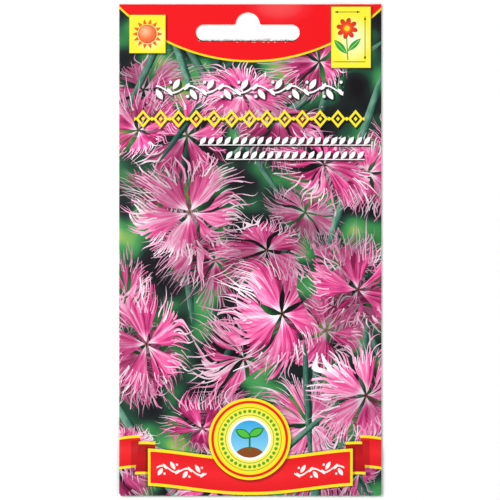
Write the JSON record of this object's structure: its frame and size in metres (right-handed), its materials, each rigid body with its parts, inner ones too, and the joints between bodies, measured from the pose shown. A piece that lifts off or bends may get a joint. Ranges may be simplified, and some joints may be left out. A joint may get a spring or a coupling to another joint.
{
  "type": "seed packet",
  "caption": "Flat folded paper seed packet with a glued header, a punched hang slot and loose seeds in its pocket.",
  "frame": {"origin": "middle of the packet's rectangle, on the surface that it lies on", "axes": "+X across the packet to the side-seam edge, +Y up the packet to the header and its hang slot, +Z out of the printed front"},
  "size_m": [0.08, 0.15, 0.0027],
  "materials": {
    "printed_paper": "satin coated, printed",
    "glue": "set paper glue",
    "seed_coat": "matt, finely wrinkled"
  },
  "bodies": {
    "root": {"envelope": "printed_paper", "side_seam_glue": "glue", "bottom_flap_glue": "glue", "header_glue": "glue", "seeds_01": "seed_coat", "seeds_02": "seed_coat", "seeds_03": "seed_coat", "seeds_04": "seed_coat", "seeds_05": "seed_coat", "seeds_06": "seed_coat", "seeds_07": "seed_coat", "seeds_08": "seed_coat"}
  },
  "joints": []
}
